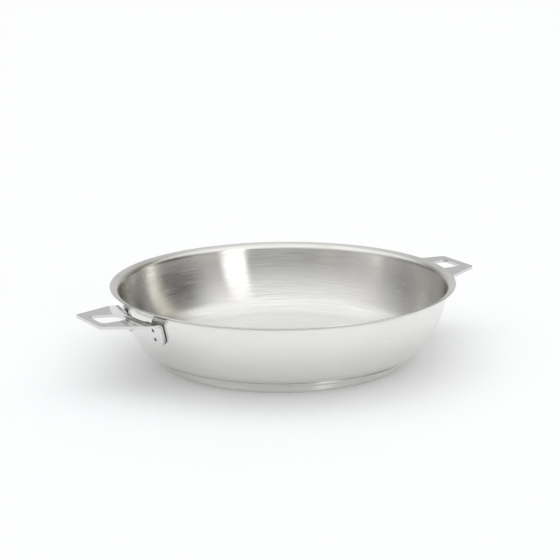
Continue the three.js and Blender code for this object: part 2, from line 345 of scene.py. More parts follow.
class Wiring:
    """Adds nodes to a shader tree and links them."""

    def __init__(self, tree: Tree) -> None:
        """Keeps the tree that the nodes go into."""
        self.tree = tree

    def add(self, kind: str, **settings: object) -> Node:
        """Adds a node and sets its properties.

        Args:
            kind: The node's type.
            settings: Its properties by name.

        Returns:
            The new node.
        """
        node = self.tree.nodes.new(kind)
        for name, value in settings.items():
            setattr(node, name, value)
        return node

    def plug(self, socket: Socket, value: object) -> None:
        """Links an input or sets it.

        Args:
            socket: The input.
            value: A socket to link or a value to set.
        """
        if isinstance(value, Socket):
            self.tree.links.new(value, socket)
        else:
            socket.default_value = value

    def feed(self, node: Node, **inputs: object) -> Node:
        """Links or sets a node's inputs by name, with spaces written as underscores.

        Args:
            node: The node to feed.
            inputs: A socket to link or a value to set for each input.

        Returns:
            The same node.
        """
        for name, value in inputs.items():
            self.plug(node.inputs[name.replace("_", " ")], value)
        return node

    def math(self, operation: str, *values: object) -> Socket:
        """Adds a sum of one, two or three values.

        Args:
            operation: The kind of sum.
            values: A socket or a number for each input.

        Returns:
            The result's socket.
        """
        node = self.add("ShaderNodeMath", operation=operation)
        for socket, value in zip(node.inputs, values):
            self.plug(socket, value)
        return node.outputs["Value"]

    def split(self, vector: Socket) -> Outputs:
        """Splits a vector into X, Y and Z."""
        return self.feed(self.add("ShaderNodeSeparateXYZ"), Vector=vector).outputs

    def join(self, x: object, y: object, z: object) -> Socket:
        """Joins three values to a vector."""
        return self.feed(self.add("ShaderNodeCombineXYZ"), X=x, Y=y, Z=z).outputs["Vector"]

    def noise(self, place: Socket, detail: float, **more: object) -> Socket:
        """Adds a noise pattern that is read at a place."""
        node = self.add("ShaderNodeTexNoise")
        return self.feed(node, Vector=place, Detail=detail, **more).outputs[0]

    def spread(
        self, value: Socket, start: tuple = (0.0, 1.0), to: tuple = (0.0, 1.0), smooth: bool = False
    ) -> Socket:
        """Spreads a value from one range to another.

        Args:
            value: The value to spread.
            start: Range of the value.
            to: Range of the result.
            smooth: Whether the result starts and stops gently.

        Returns:
            The result's socket.
        """
        node = self.add("ShaderNodeMapRange", interpolation_type="SMOOTHSTEP" if smooth else "LINEAR")
        self.feed(node, Value=value, From_Min=start[0], From_Max=start[1], To_Min=to[0], To_Max=to[1])
        return node.outputs["Result"]

    def blend(self, share: Socket, low: object, high: object) -> Socket:
        """Mixes two colours by a share.

        Args:
            share: The share of the second colour.
            low: Colour at zero.
            high: Colour at one.

        Returns:
            The colour's socket.
        """
        node = self.add("ShaderNodeMix", data_type="RGBA")
        for index, value in zip(MIX_INPUTS, (share, low, high)):
            self.plug(node.inputs[index], value)
        return node.outputs[MIX_RESULT]

    def group(self, tree: Tree, **inputs: object) -> Socket:
        """Places a shader group with its own values and gives its mask."""
        node = self.add("ShaderNodeGroup", node_tree=tree)
        return self.feed(node, **inputs).outputs["Mask"]


class Effects:
    """The shader groups that several finishes share, each built once."""

    @staticmethod
    def start(name: str, *numbers: str) -> tuple[Wiring, Outputs]:
        """Starts a group with a vector, some numbers and one mask.

        Args:
            name: Name of the group.
            numbers: Names of its number inputs.

        Returns:
            The group's wiring and what is fed to the group.
        """
        tree = bpy.data.node_groups.new(name, "ShaderNodeTree")
        tree.interface.new_socket("Vector", in_out="INPUT", socket_type="NodeSocketVector")
        for number in numbers:
            tree.interface.new_socket(number, in_out="INPUT", socket_type="NodeSocketFloat")
        tree.interface.new_socket("Mask", in_out="OUTPUT", socket_type="NodeSocketFloat")
        wiring = Wiring(tree)
        return wiring, wiring.add("NodeGroupInput").outputs

    @staticmethod
    def end(wiring: Wiring, mask: Socket) -> Tree:
        """Gives a group its mask and hands the group over."""
        wiring.feed(wiring.add("NodeGroupOutput"), Mask=mask)
        return wiring.tree

    @staticmethod
    @cache
    def ring_lines() -> Tree:
        """Builds fine lines that run round the pan's axis.

        Returns:
            The group.
        """
        wiring, given = Effects.start("ring_lines", "Pitch", "Breaks")
        parts = wiring.split(given["Vector"])
        level = wiring.join(parts["X"], parts["Y"], 0.0)
        length = wiring.add("ShaderNodeVectorMath", operation="LENGTH")
        radius = wiring.feed(length, Vector=level).outputs["Value"]
        along = wiring.math("DIVIDE", wiring.math("ADD", radius, parts["Z"]), given["Pitch"])
        across = []
        for axis in "XY":
            heading = wiring.math("DIVIDE", parts[axis], radius)
            across.append(wiring.math("MULTIPLY", heading, given["Breaks"]))
        noise = wiring.noise(wiring.join(*across, along), LINE_DETAIL, Scale=1.0)
        return Effects.end(wiring, wiring.spread(noise, LINE_CONTRAST))

    @staticmethod
    @cache
    def grain() -> Tree:
        """Builds straight grain that runs along X.

        Returns:
            The group.
        """
        wiring, given = Effects.start("sheet_grain", "Pitch", "Length")
        parts = wiring.split(given["Vector"])
        place = wiring.join(
            wiring.math("DIVIDE", parts["X"], given["Length"]),
            wiring.math("DIVIDE", parts["Y"], given["Pitch"]),
            wiring.math("DIVIDE", parts["Z"], given["Pitch"]),
        )
        return Effects.end(wiring, wiring.noise(place, GRAIN_DETAIL, Scale=1.0))

    @staticmethod
    @cache
    def smudges() -> Tree:
        """Builds the soft marks that handling leaves on metal.

        Returns:
            The group.
        """
        wiring, given = Effects.start("handling_smudges", "Size")
        scale = wiring.math("DIVIDE", 1.0, given["Size"])
        noise = wiring.noise(given["Vector"], SMUDGE_DETAIL, Scale=scale, Distortion=SMUDGE_WARP)
        return Effects.end(wiring, wiring.spread(noise, SMUDGE_CONTRAST, smooth=True))


@dataclass(frozen=True)
class Metal:
    """What the metal finishes have in common.

    Attributes:
        name: Name of the material.
        pale: Colour where its pattern is pale.
        deep: Colour where its pattern is deep.
        smooth: Lowest roughness.
        rough: Highest roughness.
        pitch: Width of the lines or the grain.
        relief: Depth of the lines or the grain.
    """

    name: str
    pale: Colour
    deep: Colour
    smooth: float
    rough: float
    pitch: float
    relief: float

    def start(self) -> tuple[Material, Wiring, Socket]:
        """Starts the material.

        Returns:
            The material, its wiring and the place on the pan.
        """
        material = bpy.data.materials.new(self.name)
        material.use_nodes = True
        wiring = Wiring(material.node_tree)
        return material, wiring, wiring.add("ShaderNodeTexCoord").outputs["Object"]

    def dress(self, wiring: Wiring, pattern: Socket, roughness: Socket) -> Node:
        """Gives the shader its roughness, and its colour and relief by the mask of its lines or grain."""
        bump = wiring.feed(wiring.add("ShaderNodeBump"), Height=pattern, Distance=self.relief)
        return wiring.feed(
            wiring.tree.nodes["Principled BSDF"],
            Base_Color=wiring.blend(pattern, self.deep, self.pale),
            Metallic=1.0,
            Roughness=roughness,
            Normal=bump.outputs["Normal"],
        )


@dataclass(frozen=True)
class Steel(Metal):
    """A finish of stainless steel with lines that run round the pan.

    Attributes:
        breaks: How often a line breaks off on its way round.
        anisotropy: How much the lines draw a highlight out.
        smudge: Roughness that handling adds.
    """

    breaks: float
    anisotropy: float = 1.0
    smudge: float = 0.02

    def material(self) -> Material:
        """Builds the material.

        Returns:
            The new material.
        """
        material, wiring, place = self.start()
        lines = wiring.group(Effects.ring_lines(), Vector=place, Pitch=self.pitch, Breaks=self.breaks)
        marks = wiring.group(Effects.smudges(), Vector=place, Size=SMUDGE_SIZE)
        brushed = wiring.spread(lines, to=(self.rough, self.smooth))
        handled = wiring.math("MULTIPLY", marks, self.smudge)
        shader = self.dress(wiring, lines, wiring.math("ADD", brushed, handled))
        tangent = wiring.add("ShaderNodeTangent", direction_type="RADIAL", axis="Z")
        wiring.feed(
            shader,
            Anisotropic=self.anisotropy,
            Anisotropic_Rotation=QUARTER_TURN,
            Tangent=tangent.outputs["Tangent"],
        )
        return material


INSIDE_STEEL = Steel(
    name="ring_brushed_steel",
    pale=(0.97, 0.963, 0.94, 1.0),
    deep=(0.84, 0.833, 0.81, 1.0),
    smooth=0.13,
    rough=0.27,
    pitch=0.6 * MM,
    relief=0.0035 * MM,
    breaks=4.0,
)

FLOOR_STEEL = Steel(
    name="floor_steel",
    pale=(0.98, 0.978, 0.96, 1.0),
    deep=(0.96, 0.958, 0.94, 1.0),
    smooth=0.26,
    rough=0.31,
    pitch=0.6 * MM,
    relief=0.001 * MM,
    breaks=2.5,
    anisotropy=0.9,
)

OUTSIDE_STEEL = Steel(
    name="polished_steel",
    pale=(0.845, 0.837, 0.813, 1.0),
    deep=(0.8, 0.792, 0.768, 1.0),
    smooth=0.135,
    rough=0.165,
    pitch=0.8 * MM,
    relief=0.006 * MM,
    breaks=5.0,
)

CAP_STEEL = replace(
    OUTSIDE_STEEL,
    name="cap_steel",
    pale=(0.96, 0.95, 0.922, 1.0),
    deep=(0.91, 0.9, 0.873, 1.0),
    smooth=0.26,
    rough=0.3,
)


@dataclass(frozen=True)
class RolledMetal(Metal):
    """A finish of sheet or cast metal with straight grain.

    Attributes:
        length: Length of the grain.
    """

    length: float

    def material(self) -> Material:
        """Builds the material.

        Returns:
            The new material.
        """
        material, wiring, place = self.start()
        grain = wiring.group(Effects.grain(), Vector=place, Pitch=self.pitch, Length=self.length)
        marks = wiring.group(Effects.smudges(), Vector=place, Size=SMUDGE_SIZE)
        rolled = wiring.spread(grain, to=(self.smooth, self.rough))
        handled = wiring.spread(marks, to=(1.0, HANDLED_ROUGHNESS))
        self.dress(wiring, grain, wiring.math("MULTIPLY", rolled, handled))
        return material


LUG_STEEL = RolledMetal(
    name="lug_steel",
    pale=(0.83, 0.834, 0.838, 1.0),
    deep=(0.75, 0.754, 0.758, 1.0),
    smooth=0.06,
    rough=0.11,
    pitch=0.8 * MM,
    relief=0.004 * MM,
    length=14 * MM,
)

# Cut edges: duller sheared metal, and their darker colour is partly painted shade that draws the outline
# of the plate and ears.
CUT_EDGE_AND_SHADE = RolledMetal(
    name="cut_edge",
    pale=(0.76, 0.76, 0.755, 1.0),
    deep=(0.64, 0.64, 0.635, 1.0),
    smooth=0.12,
    rough=0.24,
    pitch=0.8 * MM,
    relief=0.01 * MM,
    length=0.8 * MM,
)

WELD_STEEL = RolledMetal(
    name="weld_steel",
    pale=(0.36, 0.35, 0.33, 1.0),
    deep=(0.16, 0.15, 0.14, 1.0),
    smooth=0.35,
    rough=0.55,
    pitch=0.4 * MM,
    relief=0.05 * MM,
    length=0.4 * MM,
)

CORE_ALUMINIUM = RolledMetal(
    name="core_aluminium",
    pale=(0.86, 0.87, 0.88, 1.0),
    deep=(0.74, 0.75, 0.76, 1.0),
    smooth=0.32,
    rough=0.5,
    pitch=0.6 * MM,
    relief=0.01 * MM,
    length=60 * MM,
)

BRAZE_ALLOY = RolledMetal(
    name="braze_alloy",
    pale=(0.72, 0.68, 0.58, 1.0),
    deep=(0.52, 0.48, 0.4, 1.0),
    smooth=0.4,
    rough=0.65,
    pitch=2.0 * MM,
    relief=0.03 * MM,
    length=2.5 * MM,
)


@dataclass
class Bowl:
    """The deep-drawn bowl: a flat floor, a rounded corner, a flaring wall and a pouring lip."""

    rim_radius: float = 145 * MM
    height: float = 65.7 * MM
    sheet: float = 1 * MM
    underside: float = 8 * MM
    wall_flare: float = 42.8 * MM
    corner_radius: float = 24.7 * MM
    corner_sweep: float = math.radians(57.5)
    wall_top_slope: float = math.radians(81.5)
    wall_low_handle: float = 0.42
    wall_high_handle: float = 0.26
    lip_bend_radius: float = 4 * MM
    lip_slope: float = math.radians(20)
    lip_length: float = 3.9 * MM
    floor_finish_radius: float = 112 * MM
    # Fineness
    corner_steps: int = 20
    wall_steps: int = 24
    lip_steps: int = 10
    edge_steps: int = 8
    round_steps: int = 256
    # Worked out from the sizes
    floor_radius: float = field(init=False)
    outside: list[SectionPoint] = field(init=False)

    def __post_init__(self) -> None:
        """Draws the outside of the section once, for the bowl and all that meets it."""
        self.floor_radius = self.rim_radius - self.wall_flare
        self.outside = self.draw_outside()

    def draw_outside(self) -> list[SectionPoint]:
        """Draws the outside, from the edge of the flat underside to the edge of the lip.

        Returns:
            The points of the section.
        """
        start = SectionPoint(self.floor_radius, self.underside)
        corner = turn(start, self.corner_sweep, self.corner_radius, self.corner_steps)
        lip = self.draw_lip()
        return [*corner, *self.draw_wall(corner[-1], lip[0]), *lip]

    def draw_lip(self) -> list[SectionPoint]:
        """Draws the outside of the lip, from the start of its bend to its edge.

        Returns:
            The points of the section.
        """
        half = self.sheet / 2
        tip = SectionPoint(self.rim_radius - half, self.height - half, self.lip_slope).shifted(-half)
        bend_end = SectionPoint(
            tip.radius - self.lip_length * math.cos(self.lip_slope),
            tip.height - self.lip_length * math.sin(self.lip_slope),
            self.lip_slope,
        )
        bend = turn(bend_end, self.wall_top_slope, -self.lip_bend_radius, self.lip_steps)
        return [*reversed(bend), tip]

    def draw_wall(self, foot: SectionPoint, neck: SectionPoint) -> list[SectionPoint]:
        """Draws the outside of the wall as one smooth curve.

        Args:
            foot: End of the corner, where the wall starts.
            neck: Start of the lip's bend, where the wall ends.

        Returns:
            The points of the section between the two.
        """
        chord = math.hypot(neck.radius - foot.radius, neck.height - foot.height)
        ends = [Vector((point.radius, point.height)) for point in (foot, neck)]
        runs = [Vector((math.cos(point.slope), math.sin(point.slope))) for point in (foot, neck)]
        low = ends[0] + runs[0] * chord * self.wall_low_handle
        high = ends[1] - runs[1] * chord * self.wall_high_handle
        curve = bezier([ends[0], low, high, ends[1]], self.wall_steps)
        wall = []
        for before, here, after in zip(curve, curve[1:], curve[2:]):
            run = after - before
            wall.append(SectionPoint(here.x, here.y, math.atan2(run.y, run.x)))
        return wall

    def at(self, measure: Measure, value: float) -> SectionPoint:
        """Finds a point of the bowl's outside by its radius or height.

        Args:
            measure: The measure that is known.
            value: Its value.

        Returns:
            The point of the section there.
        """
        for low, high in zip(self.outside, self.outside[1:]):
            start = getattr(low, measure.value)
            end = getattr(high, measure.value)
            if start <= value <= end:
                share = (value - start) / (end - start)
                radius = mix(low.radius, high.radius, share)
                height = mix(low.height, high.height, share)
                return SectionPoint(radius, height, mix(low.slope, high.slope, share))
        raise ValueError(f"no point of the bowl has a {measure.value} of {value}")

    def section(self) -> list[SectionPoint]:
        """Draws the closed section of the sheet.

        Returns:
            The points of the section, from the axis and back to it.
        """
        tip = self.outside[-1]
        edge = turn(tip, tip.slope + math.pi, self.sheet / 2, self.edge_steps)[1:-1]
        inside = [point.shifted(self.sheet) for point in reversed(self.outside)]
        first = SectionPoint(0.0, self.underside)
        last = SectionPoint(0.0, self.underside + self.sheet)
        return [first, *self.outside, *edge, *inside, last]

    def side_of(self, face: bpy.types.MeshPolygon) -> BowlSide:
        """Tells which side of the bowl a face is on.

        Args:
            face: A face of the bowl.

        Returns:
            The side, by which way the face looks and how far out it lies.
        """
        away = Vector((face.center.x, face.center.y, 0.0))
        if face.normal.dot(away.normalized()) > face.normal.z:
            return BowlSide.OUTSIDE
        return BowlSide.FLOOR if away.length < self.floor_finish_radius else BowlSide.INSIDE

    def build(self) -> Piece:
        """Turns the bowl and dresses its sides.

        Returns:
            The finished piece.
        """
        piece = Bench.spun("pan_bowl", self.section(), self.round_steps)
        Bench.soften(piece)
        for finish in (OUTSIDE_STEEL, INSIDE_STEEL, FLOOR_STEEL):
            piece.data.materials.append(finish.material())
        for face in piece.data.polygons:
            face.material_index = self.side_of(face).value
        Bench.hand_over(piece, "pan_steel", "pan_body")
        return piece


@dataclass
class Base:
    """The sandwich base: a steel cap round a heat spreader that is brazed to the bowl."""

    bowl: Bowl
    sheet: float = 0.8 * MM
    side_margin: float = 1.8 * MM
    flare: float = 9.8 * MM
    edge_radius: float = 2.5 * MM
    shoulder_height: float = 5.2 * MM
    gap_to_bowl: float = 0.06 * MM
    edge_bevel: float = 0.25 * MM
    # Fineness
    bevel_steps: int = 2
    edge_steps: int = 8
    round_steps: int = 256

    def outside(self) -> list[SectionPoint]:
        """Draws the outside of the cap.

        Returns:
            The points of the section, from under the foot out to the bowl's corner.
        """
        side = self.bowl.floor_radius + self.side_margin
        rim_radius = side + self.flare
        meeting = self.bowl.at(Measure.RADIUS, rim_radius)
        rim_height = meeting.height - self.gap_to_bowl - self.sheet / math.cos(meeting.slope)
        slope = math.atan2(rim_height - self.shoulder_height, self.flare)
        upright = math.pi / 2
        start = SectionPoint(side - self.edge_radius, 0.0)
        edge = turn(start, upright, self.edge_radius, self.edge_steps)
        shoulder = SectionPoint(side, self.shoulder_height, (upright + slope) / 2)
        return [*edge, shoulder, SectionPoint(rim_radius, rim_height, slope)]

    def build(self) -> list[Piece]:
        """Turns the cap and dresses it and what it holds.

        Returns:
            The finished cap, then the layers that it holds.
        """
        outside = self.outside()
        inside = [point.shifted(self.sheet) for point in reversed(outside)]
        section = [SectionPoint(0.0, 0.0), *outside, *inside, SectionPoint(0.0, self.sheet)]
        piece = Bench.spun("foot_cap", section, self.round_steps)
        Bench.bevel(piece, self.edge_bevel, self.bevel_steps)
        Bench.soften(piece)
        piece.data.materials.append(CAP_STEEL.material())
        Bench.hand_over(piece, "base_steel", "base_cap")
        return [piece, *self.dress_inside()]

    def dress_inside(self) -> list[Piece]:
        """Gives the heat spreader and the braze their finishes.

        Returns:
            The layers inside the base.
        """
        core = CORE_ALUMINIUM.material()
        braze = BRAZE_ALLOY.material()
        layers = []
        for name, finish in {"aluminium_core": core, "upper_braze": braze, "lower_braze": braze}.items():
            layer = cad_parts[name]
            layer.data.materials.clear()
            layer.data.materials.append(finish)
            layers.append(layer)
        return layers


@dataclass(frozen=True)
class EarRow:
    """One row across an ear.

    Attributes:
        radius: Distance from the pan's axis, square to the fold.
        height: Height above the foot.
        low: Reach of the row towards the lug's middle, below zero.
        high: Reach of the row away from the lug's middle.
    """

    radius: float
    height: float
    low: float
    high: float


@dataclass
class Lug:
    """A side lug: a windowed plate that rises outwards, and two ears folded down on the bowl's wall."""

    bowl: Bowl
    # Plate
    sheet: float = 2.4 * MM
    rise: float = math.tan(math.radians(2.7))
    rise_start: float = 135 * MM
    outer_half_width: float = 21.7 * MM
    corner: float = 2 * MM
    side_length: float = 24 * MM
    side_splay: float = 10 * MM
    shoulder_length: float = 5 * MM
    flare_share: float = 0.5
    notch_under_lip: float = 1.6 * MM
    edge_bevel: float = 0.3 * MM
    # Window
    window_outer_bar: float = 6.3 * MM
    window_inner_bar: float = 6.6 * MM
    window_outer_half_width: float = 13.8 * MM
    window_inner_half_width: float = 9.6 * MM
    window_outer_corner: float = 6 * MM
    window_inner_corner: float = 8 * MM
    # Ears
    ear_angle: float = math.radians(11.2)
    ear_length: float = 16.6 * MM
    pad_radius: float = 9.6 * MM
    neck_inner_width: float = 6.6 * MM
    bend_radius: float = 2.0 * MM
    gap_to_wall: float = 0.35 * MM
    tip_end: float = math.radians(84)
    bore_radius: float = 1.55 * MM
    # Fineness
    bevel_steps: int = 3
    bore_steps: int = 24
    curve_steps: int = 12
    fold_steps: int = 10
    stem_steps: int = 8
    tip_steps: int = 12
    # Worked out from the frame and the bowl
    reach: float = field(init=False)
    top: float = field(init=False)
    notch_radius: float = field(init=False)
    fold_height: float = field(init=False)
    fold_radius: float = field(init=False)
    fold_wall: SectionPoint = field(init=False)

    def __post_init__(self) -> None:
        """Takes the plate's reach and height from the frame and works out the fold of its ears."""
        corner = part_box("right_lug")[1]
        self.reach = corner.x
        self.top = corner.z - self.rise * (self.reach - self.rise_start)
        self.notch_radius = self.bowl.rim_radius - self.notch_under_lip
        distance = self.gap_to_wall + self.sheet + self.bend_radius
        self.fold_height = self.top - self.sheet - self.bend_radius
        self.fold_wall = self.bowl.at(Measure.HEIGHT, self.fold_height)
        for _ in range(FOLD_PASSES):
            height = self.fold_height + distance * math.cos(self.fold_wall.slope)
            self.fold_wall = self.bowl.at(Measure.HEIGHT, height)
        self.fold_radius = self.fold_wall.radius + distance * math.sin(self.fold_wall.slope)

    def on_plate(self, x: float, y: float) -> Vector:
        """Gives a place on the plate's upper face, before the plate is slanted."""
        return Vector((x, y, self.top))

    def on_ear(self, radius: float, along: float, height: float, side: int = 1) -> Vector:
        """Gives a place on an ear.

        Args:
            radius: Distance from the pan's axis, square to the fold.
            along: Distance along the fold, away from the lug's middle.
            height: Height above the foot.
            side: 1 for the ear towards +Y, -1 for the other.

        Returns:
            The place on the lug that lies along +X.
        """
        x = radius * math.cos(self.ear_angle) - along * math.sin(self.ear_angle)
        y = radius * math.sin(self.ear_angle) + along * math.cos(self.ear_angle)
        return Vector((x, side * y, height))

    def fold_ends(self) -> list[Vector]:
        """Gives both ends of an ear's fold on the plate, the one near the lug's middle first."""
        reaches = (-self.neck_inner_width, self.pad_radius)
        return [self.on_ear(self.fold_radius, along, self.top) for along in reaches]

    def rounded(self, before: Vector, corner: Vector, after: Vector, size: float) -> list[Vector]:
        """Rounds a corner of an outline.

        Args:
            before: The outline's point before the corner.
            corner: The corner.
            after: The outline's point after the corner.
            size: Distance from the corner to both ends of the round.

        Returns:
            The points of the round.
        """
        start = corner + (before - corner).normalized() * size
        end = corner + (after - corner).normalized() * size
        return bezier([start, corner, end], self.curve_steps)

    def half_side(self, side: Vector) -> list[Vector]:
        """Draws the plate's side, from the end of its straight stretch to the ear's fold.

        Args:
            side: End of the straight stretch.

        Returns:
            The points of the side, both ends of the fold included.
        """
        fold_start, fold_end = self.fold_ends()
        shoulder = self.on_plate(fold_end.x + self.shoulder_length, fold_end.y)
        flare = (side.x - shoulder.x) * self.flare_share
        splay = self.side_splay / self.side_length
        leaving = self.on_plate(side.x - flare, side.y + flare * splay)
        coming = self.on_plate(shoulder.x + flare, shoulder.y)
        return [*bezier([side, leaving, coming, shoulder], self.curve_steps), fold_end, fold_start]

    def half_notch(self) -> list[Vector]:
        """Draws half of the notch that clears the lip.

        Returns:
            The points of the notch, from the ear to the lug's middle.
        """
        relief_radius = math.sqrt(self.notch_radius ** 2 - self.neck_inner_width ** 2)
        relief = self.on_ear(relief_radius, -self.neck_inner_width, self.top)
        start = math.atan2(relief.y, relief.x)
        notch = []
        for share in shares(self.curve_steps):
            angle = start * (1 - share)
            x = self.notch_radius * math.cos(angle)
            y = self.notch_radius * math.sin(angle)
            notch.append(self.on_plate(x, y))
        return notch

    def half_window(self) -> list[Vector]:
        """Draws half of the window.

        Returns:
            The points of the window, from the notch's side outwards.
        """
        inner_x = self.notch_radius + self.window_inner_bar
        outer_x = self.reach - self.window_outer_bar
        first = self.on_plate(inner_x, 0.0)
        last = self.on_plate(outer_x, 0.0)
        inner = self.on_plate(inner_x, self.window_inner_half_width)
        outer = self.on_plate(outer_x, self.window_outer_half_width)
        return [
            first,
            *self.rounded(first, inner, outer, self.window_inner_corner),
            *self.rounded(inner, outer, last, self.window_outer_corner),
            last,
        ]

    def half_outline(self) -> list[Vector]:
        """Draws half of the plate, on the side towards +Y.

        Returns:
            The points of its outline, window included.
        """
        first = self.on_plate(self.reach, 0.0)
        corner = self.on_plate(self.reach, self.outer_half_width)
        side = self.on_plate(self.reach - self.side_length, self.outer_half_width + self.side_splay)
        outer = self.rounded(first, corner, side, self.corner)
        return [first, *outer, *self.half_side(side), *self.half_notch(), *self.half_window()]

    def ear_rows(self) -> list[EarRow]:
        """Lists the rows of an ear's wall side.

        Returns:
            The rows, from the plate's edge round the fold and down to the tip.
        """
        fold = self.bend_radius + self.sheet
        rows = []
        for share in shares(self.fold_steps):
            angle = self.fold_wall.slope * share
            radius = self.fold_radius - fold * math.sin(angle)
            height = self.fold_height + fold * math.cos(angle)
            rows.append(EarRow(radius, height, -self.neck_inner_width, self.pad_radius))
        pad_centre = self.ear_length - self.pad_radius
        for share in shares(self.stem_steps)[1:]:
            low = mix(-self.neck_inner_width, -self.pad_radius, ease(share))
            rows.append(self.row_on_wall(pad_centre * share, low, self.pad_radius))
        for share in shares(self.tip_steps)[1:]:
            angle = self.tip_end * share
            half = self.pad_radius * math.cos(angle)
            rows.append(self.row_on_wall(pad_centre + self.pad_radius * math.sin(angle), -half, half))
        return rows

    def row_on_wall(self, distance: float, low: float, high: float) -> EarRow:
        """Lays a row of an ear along the bowl's wall, clear of it.

        Args:
            distance: How far the row lies below the fold.
            low: Reach of the row towards the lug's middle, below zero.
            high: Reach of the row away from the lug's middle.

        Returns:
            The row.
        """
        height = self.fold_wall.height - distance * math.sin(self.fold_wall.slope)
        face = self.bowl.at(Measure.HEIGHT, height).shifted(-self.gap_to_wall)
        return EarRow(face.radius, face.height, low, high)

    def row_middle(self, row: EarRow) -> Vector:
        """Gives the middle of a row."""
        return self.on_ear(row.radius, (row.low + row.high) / 2, row.height)

    def select_fold(self, piece: Piece) -> None:
        """Selects the edge of the plate that an ear is folded from, and goes to edit mode.

        Args:
            piece: The flat half plate.
        """
        Bench.select_none_of("EDGE")
        ends = self.fold_ends()
        corners = piece.data.vertices
        for edge in piece.data.edges:
            places = [corners[index].co for index in edge.vertices]
            edge.select = all(min((end - place).length for end in ends) < NEAR for place in places)
        bpy.ops.object.mode_set(mode="EDIT")

    def draw_half(self) -> Piece:
        """Draws one half of the lug's upper face with its ear.

        Returns:
            The open half sheet, in object mode.
        """
        outline = self.half_outline()
        piece = Bench.start_line("right_side_lug", outline[0])
        Bench.extrude_along([*outline, outline[0]])
        bpy.ops.mesh.select_all(action="SELECT")
        bpy.ops.mesh.remove_doubles(threshold=MERGE_DISTANCE)
        bpy.ops.mesh.edge_face_add()
        bpy.ops.object.mode_set(mode="OBJECT")
        if piece.data.polygons[0].normal.z < 0:
            piece.data.flip_normals()
        self.select_fold(piece)
        rows = self.ear_rows()
        for before, row in zip(rows, rows[1:]):
            middle = self.row_middle(row)
            step = middle - self.row_middle(before)
            bpy.ops.mesh.extrude_region_move(TRANSFORM_OT_translate={"value": step})
            growth = (row.high - row.low) / (before.high - before.low)
            bpy.ops.transform.resize(value=(growth, growth, growth), center_override=middle)
        bpy.ops.object.mode_set(mode="OBJECT")
        return piece

    def bore(self, piece: Piece, weld: "Weld") -> None:
        """Cuts the bore for one spot weld through an ear.

        Args:
            piece: The lug.
            weld: The spot weld.
        """
        Bench.clear_selection()
        depth = 4 * self.sheet
        bpy.ops.mesh.primitive_cylinder_add(vertices=self.bore_steps, radius=self.bore_radius, depth=depth)
        cutter = bpy.context.object
        cutter.matrix_world = weld.place
        Bench.finish_with(piece, "BOOLEAN", operation="DIFFERENCE", object=cutter, solver="EXACT")
        bpy.data.objects.remove(cutter)

    def slant(self) -> Matrix:
        """Works out the slant that lets the plate rise on its way out.

        Returns:
            The slant, which leaves the plate's height where its rise starts.
        """
        slant = Matrix.Identity(4)
        slant[2][0] = self.rise
        slant[2][3] = -self.rise * self.rise_start
        return slant

    def build(self, welds: list["Weld"]) -> list[Piece]:
        """Makes both lugs and dresses them, with a darker colour of their own on the cut edges: partly the
        duller sheared metal, partly painted shade along the outline of the plate and ears.

        Args:
            welds: The spot welds of the right lug.

        Returns:
            The right lug and the left one.
        """
        right = self.draw_half()
        Bench.finish_with(right, "MIRROR", use_axis=(False, True, False), merge_threshold=MERGE_DISTANCE)
        # The cut edges take the darker colour, which is partly painted shade along the lug's outline.
        finishes = (LUG_STEEL, CUT_EDGE_AND_SHADE)
        for finish in finishes:
            right.data.materials.append(finish.material())
        Bench.finish_with(
            right,
            "SOLIDIFY",
            thickness=self.sheet,
            offset=-1.0,
            use_even_offset=True,
            material_offset_rim=finishes.index(CUT_EDGE_AND_SHADE),
        )
        for weld in welds:
            self.bore(right, weld)
        Bench.pick(right)
        bpy.ops.object.shade_smooth()
        Bench.bevel(right, self.edge_bevel, self.bevel_steps, harden_normals=True)
        right.data.transform(self.slant())
        left = Bench.copy_of(right, "left_side_lug", Matrix.Rotation(math.pi, 4, "Z"))
        Bench.hand_over(right, "lug_steel", "right_lug")
        Bench.hand_over(left, "lug_steel", "left_lug")
        return [right, left]


@dataclass
class Weld:
    """One spot weld of an ear, placed where its plain solid lies.

    Attributes:
        lug: The lug that it holds.
        node: Name of its plain solid.
        side: 1 for the ear towards +Y on the lug that lies along +X, -1 for the other.
        hand: Which lug it holds.
        place: Its place, square to the ear.
    """

    lug: Lug
    node: str
    side: int
    hand: Hand
    place: Matrix = field(init=False)

    def __post_init__(self) -> None:
        """Works out the weld's place, square to the ear."""
        low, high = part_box(self.node)
        middle = (low + high) / 2
        slope = self.lug.bowl.at(Measure.HEIGHT, middle.z).slope
        half_turn = Matrix.Rotation(math.pi * self.hand.value, 4, "Z")
        level = self.lug.on_ear(math.sin(slope), 0.0, 0.0, self.side)
        out = half_turn @ Vector((level.x, level.y, -math.cos(slope)))
        self.place = Matrix.Translation(middle) @ out.to_track_quat("Z", "Y").to_matrix().to_4x4()


